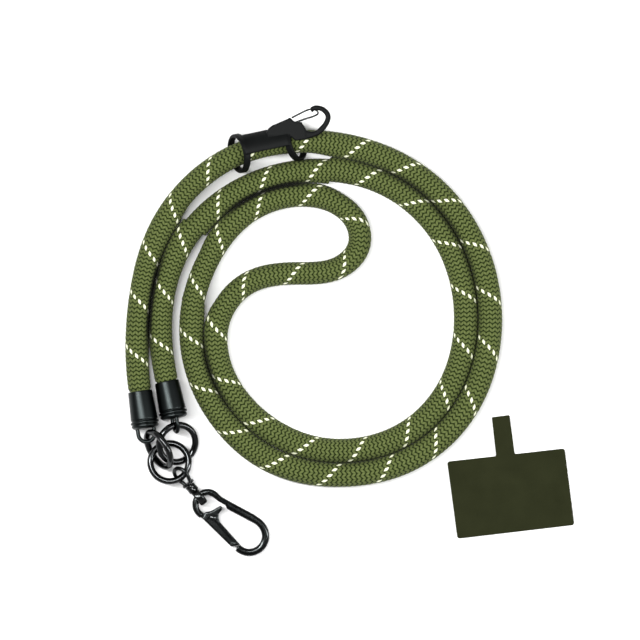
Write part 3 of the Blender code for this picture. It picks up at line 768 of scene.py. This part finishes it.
# %% Swivel stem
SWIVEL_AT = (-81.45, -75.95, 5.29)
EYE_HALF, EYE_BEND, EYE_RADIUS = 4.26, -4.65, 0.95
turn = math.radians(-50.2)
way = Vector((math.cos(turn), math.sin(turn), (4.45 - 5.29) / 9.25))
level = Vector((0, 0, 1)).cross(way).normalized()
raised = way.normalized().cross(level)
roll = math.radians(38.8)
stem_frame = placement(SWIVEL_AT, way, raised * math.cos(roll) + level * math.sin(roll))
barrel_frame = placement(SWIVEL_AT, way, raised)
profile = [
    (0.0, 2.95), (0.3, 3.25), (1.1, 3.25), (1.4, 2.95), (1.4, 1.0), (3.1, 1.0),
    (3.1, 1.6), (3.9, 1.6), (4.15, 1.3),
]
post = turned("post", rounded_profile(profile, 0.08), stem_frame, 48)
leg = [(2.6, 0.8), (2.6, 0.3), (2.75, -0.6), (3.63, -2.33), (4.1, -3.6), (EYE_HALF, EYE_BEND)]
turns = np.linspace(0, math.pi, 26)[1:-1]
arch = [(EYE_HALF * math.cos(a), EYE_BEND - EYE_HALF * math.sin(a)) for a in turns]
path = leg + arch + [(-x, s) for x, s in reversed(leg)]
stem = joined("swivel_eye_and_pin", [post, wire("u_eye", path, EYE_RADIUS, stem_frame)])
dress(stem, ["swivel_stem"], "strap", black_metal)
print(stem.name, "faces", len(stem.data.polygons))

# %% [markdown]
# ## Swivel barrel
# The barrel turns on the stem's pin and ends in a thick flat eye that holds the clip. The eye is a row of
# sections round its bore, each wider toward the far side.

# %% Swivel barrel
profile = [
    (4.55, 1.95), (2.75, 1.95), (2.75, 1.1), (1.75, 1.1), (1.75, 2.3), (2.05, 2.6), (3.2, 2.6),
    (3.35, 2.45), (3.6, 2.45), (3.75, 2.6), (5.3, 2.6), (6.0, 2.0),
]
sleeve = turned("sleeve", rounded_profile(profile, 0.1), barrel_frame, 48)
# The thick eye is widest where it meets the sleeve, and its section has round corners.
EYE_BORE, EYE_BAND, EYE_BAND_HALF, CORNER = 2.45, 1.97, 2.0, 0.9
rings = []
for i in range(72):
    a = 2 * math.pi * (i + 0.5) / 72
    c, s = math.cos(a), math.sin(a)
    far = 0.5 + 0.5 * c
    outer = EYE_BORE + EYE_BAND
    low = np.array([EYE_BORE * s, 9.0 + 0.45 * far + EYE_BORE * c])
    high = np.array([outer * s, 9.0 + 0.45 * far + (outer - 0.45 * (1 - far)) * c])
    reach = np.linalg.norm(high - low)
    out = (high - low) / reach
    near, away, flat = CORNER, reach - CORNER, EYE_BAND_HALF - CORNER
    section = []
    corners = ((away, -flat, -0.5), (away, flat, 0.0), (near, flat, 0.5), (near, -flat, 1.0))
    for across, up, start in corners:
        for t in range(4):
            swing = math.pi * (start + t / 6)
            depth, y = across + CORNER * math.cos(swing), up + CORNER * math.sin(swing)
            section.append((low[0] + out[0] * depth, y, low[1] + out[1] * depth))
    rings.append(section)
barrel = joined("swivel_sleeve", [sleeve, solid("thick_eye", rings, True, barrel_frame)])
dress(barrel, ["swivel_barrel"], "clip", black_metal)
print(barrel.name, "faces", len(barrel.data.polygons))

# %% [markdown]
# ## Clip
# The clip's body is one cast bar, bent into a small loop, a straight spine with a step and a wide end.
# Its gate turns on a rivet and closes against the nose.

# %% Clip
CLIP_AT = (-71.12, -86.9, 4.05)
CLIP_HALF = 1.75
PIVOT, BOSS, RIVET_BORE = (2.4, -6.7), 2.0, 0.85
turn = math.radians(-37.5)
tilt = Matrix.Rotation(math.radians(3.6), 3, Vector((-math.sin(turn), math.cos(turn), 0)))
clip_frame = placement(CLIP_AT, tilt @ Vector((0, 0, 1)), tilt @ Vector((1, 0, 0)))
# The bar's middle line and width: small loop, stepped spine, wide end.
path = [(*polar(6.3, d), 3.2) for d in np.arange(-121, -275, -8.5)]
path += [
    (1.9, 5.85, 3.35), (3.3, 5.05, 3.2), (4.5, 4.0, 2.95), (5.9, 2.75, 2.75), (8.5, 1.29, 2.75),
    (9.66, 0.67, 2.8), (10.68, -0.60, 4.0), (12.4, -1.55, 4.0), (17.0, -4.02, 4.0), (22.0, -6.72, 4.0),
]
for degrees in np.r_[66:-142:-8, -142.6]:
    reach = 8.2 + float(np.interp(degrees, [40, 66], [0.0, 0.35]))
    path.append((*polar(reach, degrees, (20.65, -15.85)), 3.7))
hoop = bar("hoop", path, -CLIP_HALF, CLIP_HALF, 1.35, clip_frame, (0.983, 0.184))
# A thin tongue on the bar carries the rivet, inside the lever's fork.
outline = [polar(BOSS, d, PIVOT) for d in range(-120, 61, 12)] + [(-3.0, -4.3), (-4.3, -6.2)]
tongue = plate("tongue", outline, -0.6, 0.6, 0.08, clip_frame)
pivot_frame = clip_frame @ Matrix.Translation(Vector((PIVOT[0], PIVOT[1], 0)) * MM)
hole = turned("hole", [(-3, RIVET_BORE), (3, RIVET_BORE)], pivot_frame, 32)
clip = moulded(joined("clip_bar", [hoop, tongue]), 0.16, 2, [hole])
dress(clip, ["carabiner_frame"], "clip", black_metal)

# %% [markdown]
# ## The clip's lever
# The lever is forked over the tongue and turns on the rivet. A shallow channel runs down its face, and
# its thumb piece stands up inside the small loop. The fork and the channel are cut before it is smoothed.

# %% Lever and rivet
outline = [
    (-2.9, -6.85), (-2.35, -7.45), (11.47, -21.02), (16.1, -20.15), (5.9, -8.75), (5.3, -6.6),
    (5.35, -4.6), (6.4, -3.3), (7.15, -2.3), (7.0, -1.2), (6.15, -0.7), (5.2, -1.2),
    (3.9, -1.95), (2.6, -2.8), (1.2, -3.4), (-0.2, -3.7), (-1.3, -3.9), (-1.75, -4.6),
]
about = [(x - PIVOT[0], y - PIVOT[1]) for x, y in outline]
lever = plate("lever", about, -CLIP_HALF, CLIP_HALF, 0.6, pivot_frame)
# The fork's slot is round at the boss and runs out past the lever both ways that the tongue needs.
slot = [polar(BOSS + 0.35, d) for d in range(-73, 36, 9)]
slot += [polar(9.0, way, polar(BOSS + 0.35, foot)) for way, foot in ((125, 35), (197, -73))]
notch = plate("notch", slot, -0.9, 0.9, 0.06, pivot_frame)
hole = turned("hole", [(-3, RIVET_BORE), (3, RIVET_BORE)], pivot_frame, 32)
channel = [(-0.9, -7.9), (11.2, -19.6), (13.6, -19.2), (3.6, -8.2), (3.2, -6.4), (0.6, -6.4)]
channel = [(x - PIVOT[0], y - PIVOT[1]) for x, y in channel]
channel = plate("channel", channel, 1.3, 3.0, 0.06, pivot_frame)
gate = moulded(lever, 0.14, 2, [notch, hole, channel])
gate.name = "clip_gate_lever"
dress(gate, ["carabiner_gate"], "clip_gate", black_metal)
head = [(CLIP_HALF + 0.1, 0.75), (CLIP_HALF + 0.1, 1.6), (CLIP_HALF + 0.25, 1.6), (CLIP_HALF + 0.5, 1.3)]
profile = [(-s, r) for s, r in reversed(head)] + head
rivet = turned("rivet", rounded_profile(profile, 0.15), pivot_frame, 40)
dress(rivet, ["gate_rivet"], "clip", black_metal)
print("clip done")

# %% [markdown]
# ## Slider
# The slider is moulded in one: two leaning bands round the rope, a bridge between them, and a flat hook
# beside it. The hook's mouth is closed by a bent spring wire.

# %% Slider
SLIDER_AT, SLIDER_TURN_DEG = (-55.52, 88.6, 0.0), 11.8
INNER, OUTER, BRIDGE_OUTER, BAND_Z, BAND_EDGE = 8.0, 9.9, 9.75, 9.75, 0.5
BAND_PLACES = ((0.0, 25.0), (28.86, -25.0))
HOOK_LOW, HOOK_HIGH = 15.1, 18.4
slider_frame = placement(SLIDER_AT, (0, 0, 1), (*polar(1.0, SLIDER_TURN_DEG), 0))
w, c = 1.75, BAND_EDGE
profile = [
    (-w, INNER + c), (-w + c, INNER), (w - c, INNER), (w, INNER + c),
    (w, OUTER - c), (w - c, OUTER), (-w + c, OUTER), (-w, OUTER - c),
]
parts = []
for at_along, lean_deg in BAND_PLACES:
    lean = Matrix.Rotation(math.radians(90.0 + lean_deg), 4, "Y")
    local = Matrix.Translation(Vector((at_along, 0, BAND_Z)) * MM) @ lean
    parts.append(turned("band", profile, slider_frame @ local, 96, wrap=True))
# The bridge is a strip of a tube over the rope, from 8 degrees one side of the top to 64 the other.
over = [polar(BRIDGE_OUTER, 90 - d, (0, BAND_Z)) for d in range(-8, 65, 4)]
under = [polar(INNER, 90 - d, (0, BAND_Z)) for d in range(64, -9, -4)]
slices = [[(s, u, z) for u, z in over + under] for s in (3.3, 9.0, 17.0, 25.4)]
parts.append(solid("bridge", slices, False, slider_frame))
# The hook is a flat plate over the bridge's end, with a lug below it and an arm that narrows to its tip.
outline = [
    (16.6, 8.9), (15.6, 7.2), (15.6, 5.0), (22.0, 4.5), (26.6, 3.4), (28.8, 0.3), (34.6, -0.1), (35.1, 4.9),
    (34.7, 6.3), (33.6, 8.9), (30.9, 9.5), (30.1, 10.0), (28.55, 12.2), (24.25, 11.15), (18.9, 10.1),
]
parts.append(plate("hook_plate", outline, HOOK_LOW, HOOK_HIGH, 0.5, slider_frame))
outline = [(25.4, 7.3), (30.2, 7.0), (30.4, 8.4), (29.9, 9.6), (28.3, 11.9), (25.0, 10.9)]
parts.append(plate("lug", outline, HOOK_LOW - 2.2, HOOK_LOW + 1.5, 0.3, slider_frame))
arm = [
    (33.6, 2.5, 5.0), (36.5, 1.8, 3.4), (39.6, 1.85, 2.6), (42.8, 3.3, 2.8), (46.1, 6.3, 2.65),
    (47.3, 9.1, 2.6), (46.3, 11.8, 2.5), (44.2, 13.7, 2.4), (42.2, 14.3, 2.6), (39.5, 14.2, 1.7),
]
arm = through(arm, (1, -0.3, -0.5), (-1, -0.1, -0.3), 60)
parts.append(bar("hook_arm", arm, HOOK_LOW + 0.1, HOOK_HIGH - 0.1, 0.8, slider_frame))
outline = [(39.25, 14.1), (39.85, 12.3), (41.6, 13.5), (41.1, 14.4)]
parts.append(plate("barb", outline, HOOK_LOW + 0.45, HOOK_HIGH - 0.5, 0.2, slider_frame))
slider = moulded(joined("slider_moulding", parts), 0.24, 4)
dress(slider, ["slider_body"], "strap", black_plastic)

# %% [markdown]
# ## The slider's wire gate
# One bent spring wire closes the hook. It starts at the plate, runs out to the hook's tip, turns back
# inside it and ends in the lug, so a smooth curve through a few points is all it needs.

# %% Wire gate
HINGE, GATE_WIRE, GATE_Z = (30.85, 9.35), 0.45, 14.2
at_hinge = Matrix.Translation(Vector((*HINGE, GATE_Z)) * MM) @ Matrix.Rotation(-math.pi / 2, 4, "X")
path = [
    (29.35, 11.95, 0), (34.2, 13.3, 0), (38.7, 14.2, 0), (40.5, 14.05, 0), (41.9, 13.3, 0), (42.7, 12.3, 0),
    (42.6, 11.3, 0), (41.8, 10.85, 0), (36.5, 10.1, 0), (*HINGE, 0),
]
smooth = through(path, (1, 0.28, 0), (-1, -0.12, 0), 60)
about = [(x - HINGE[0], y - HINGE[1]) for x, y, _ in smooth]
spring = wire("slider_wire_gate", about, GATE_WIRE, slider_frame @ at_hinge, 16)
dress(spring, ["slider_gate"], "wire_gate", black_metal)
print("slider done")

# %% [markdown]
# ## Phone patch
# The patch is one thin piece of dark olive cloth, cut with its strip, that goes inside a phone case. Its
# outline is eight corners, each rounded, and the cut edges are pressed a little thinner.


# %% Phone patch
def rounded_corner(before, corner, after, radius):
    corner = Vector(corner)
    one, two = (Vector(before) - corner).normalized(), (Vector(after) - corner).normalized()
    cut = radius / math.tan(one.angle(two) / 2)
    start, end = corner + one * cut, corner + two * cut
    curve = [start * (1 - t) ** 2 + corner * 2 * t * (1 - t) + end * t**2 for t in np.linspace(0, 1, 9)]
    return [(p.x, p.y) for p in curve]


PATCH_THICKNESS = 1.0
# Each corner's place and how round it is: the strip's four first, then the patch's own.
CORNERS = [
    ((82.25, -61.75), 0.8), ((79.7, -42.25), 0.6), ((70.85, -43.35), 0.6), ((73.05, -62.8), 0.8),
    ((48.55, -65.55), 1.5), ((53.7, -104.1), 1.5), ((112.1, -97.2), 1.5), ((107.25, -58.95), 1.5),
]
outline = []
for k, (corner, radius) in enumerate(CORNERS):
    before, after = CORNERS[k - 1][0], CORNERS[(k + 1) % len(CORNERS)][0]
    outline += rounded_corner(before, corner, after, radius)
patch_frame = placement((0, 0, 0), (0, 0, 1), (1, 0, 0))
patch = plate("cloth_patch", outline, 0.0, PATCH_THICKNESS, 0.3, patch_frame)
print("patch faces", len(patch.data.polygons))

# %% [markdown]
# ## The patch's cloth
# The cloth is a close plain weave, one thread in 0.9 mm, turned with the patch's edge. Two sine waves
# make the weave, and it is too fine for a mesh, so it is colour and bump.


# %% Patch cloth
THREAD_PITCH = 0.0009
PATCH_TURN_DEG = 6.4


def patch_material():
    made, tree, shader = tree_of("patch_cloth", 0.9)
    place = add(tree, "ShaderNodeMapping")
    place.inputs["Rotation"].default_value = (0, 0, math.radians(-PATCH_TURN_DEG))
    tree.links.new(tree.nodes.new("ShaderNodeTexCoord").outputs["Object"], place.inputs["Vector"])
    parts = add(tree, "ShaderNodeSeparateXYZ")
    tree.links.new(place.outputs[0], parts.inputs[0])
    threads = 2 * math.pi / THREAD_PITCH
    warp = math_node(tree, "SINE", math_node(tree, "MULTIPLY", parts.outputs[0], threads))
    weft = math_node(tree, "SINE", math_node(tree, "MULTIPLY", parts.outputs[1], threads))
    weave = math_node(tree, "MULTIPLY", warp, weft)
    grain = group_in(tree, grain_group, coarse_scale=COARSE_GRAIN, fine_scale=FINE_GRAIN)
    tone = math_node(tree, "ADD", math_node(tree, "MULTIPLY", weave, 0.22), grain.outputs["Coarse"])
    colour = mix_colour(tree, tone, (0.017, 0.0194, 0.0064), (0.029, 0.0322, 0.0128))
    tree.links.new(colour, shader.inputs["Base Color"])
    height = math_node(tree, "ADD", weave, math_node(tree, "MULTIPLY", grain.outputs["Fine"], 0.8))
    bump(tree, shader, height, 0.00006, 0.7)
    shader.inputs["Specular IOR Level"].default_value = 0.2
    return made


dress(patch, ["phone_patch"], "strap", patch_material())
print("patch done")

# %% [markdown]
# ## Table
# The photograph is cut out on white, so the table is a plain pale sheet, just under the lowest piece.

# %% Table
floor_mesh = bpy.data.meshes.new("table")
floor_mesh.from_pydata([(-3, -3, 0), (3, -3, 0), (3, 3, 0), (-3, 3, 0)], [], [(0, 1, 2, 3)])
floor = bpy.data.objects.new("table", floor_mesh)
scene.collection.objects.link(floor)
floor.location.z = -0.0002
floor_look, tree, shader = tree_of("table_white", 0.9)
shader.inputs["Base Color"].default_value = (0.93, 0.93, 0.93, 1)
shader.inputs["Specular IOR Level"].default_value = 0.1
floor_mesh.materials.append(floor_look)
print("table done")

# %% [markdown]
# ## Light
# Two long strip lights draw thin bright lines on the black metal, the left one brighter. The room is pale
# all round and dark straight above, so flat black faces stay black.


# %% Light
def strip_light(name, size, energy, place, target):
    data = bpy.data.lights.new(name, "AREA")
    data.shape, data.size, data.size_y, data.energy = "RECTANGLE", size[0], size[1], energy
    lamp = bpy.data.objects.new(name, data)
    scene.collection.objects.link(lamp)
    lamp.location = place
    lamp.rotation_euler = (Vector(target) - Vector(place)).to_track_quat("-Z", "Y").to_euler()


STRIP_SIZE = (0.17, 1.3)
strip_light("left_strip", STRIP_SIZE, 19.0, (-0.50, 0.15, 1.25), (0, 0, 0))
strip_light("right_strip", STRIP_SIZE, 11.0, (0.95, -0.1, 0.95), (0, 0, 0))
world = bpy.data.worlds.new("studio")
scene.world = world
world.use_nodes = True
tree = world.node_tree
parts = add(tree, "ShaderNodeSeparateXYZ")
tree.links.new(tree.nodes.new("ShaderNodeTexCoord").outputs["Generated"], parts.inputs[0])
overhead = add(tree, "ShaderNodeValToRGB")
ramp = overhead.color_ramp
ramp.elements[0].position, ramp.elements[0].color = 0.80, (1, 1, 1, 1)
ramp.elements[1].position, ramp.elements[1].color = 0.93, (0.10, 0.10, 0.10, 1)
tree.links.new(parts.outputs[2], overhead.inputs[0])
tree.links.new(overhead.outputs[0], tree.nodes["Background"].inputs["Color"])
tree.nodes["Background"].inputs["Strength"].default_value = 0.42
scene.view_settings.view_transform = "Standard"
scene.view_settings.look = "Medium High Contrast"
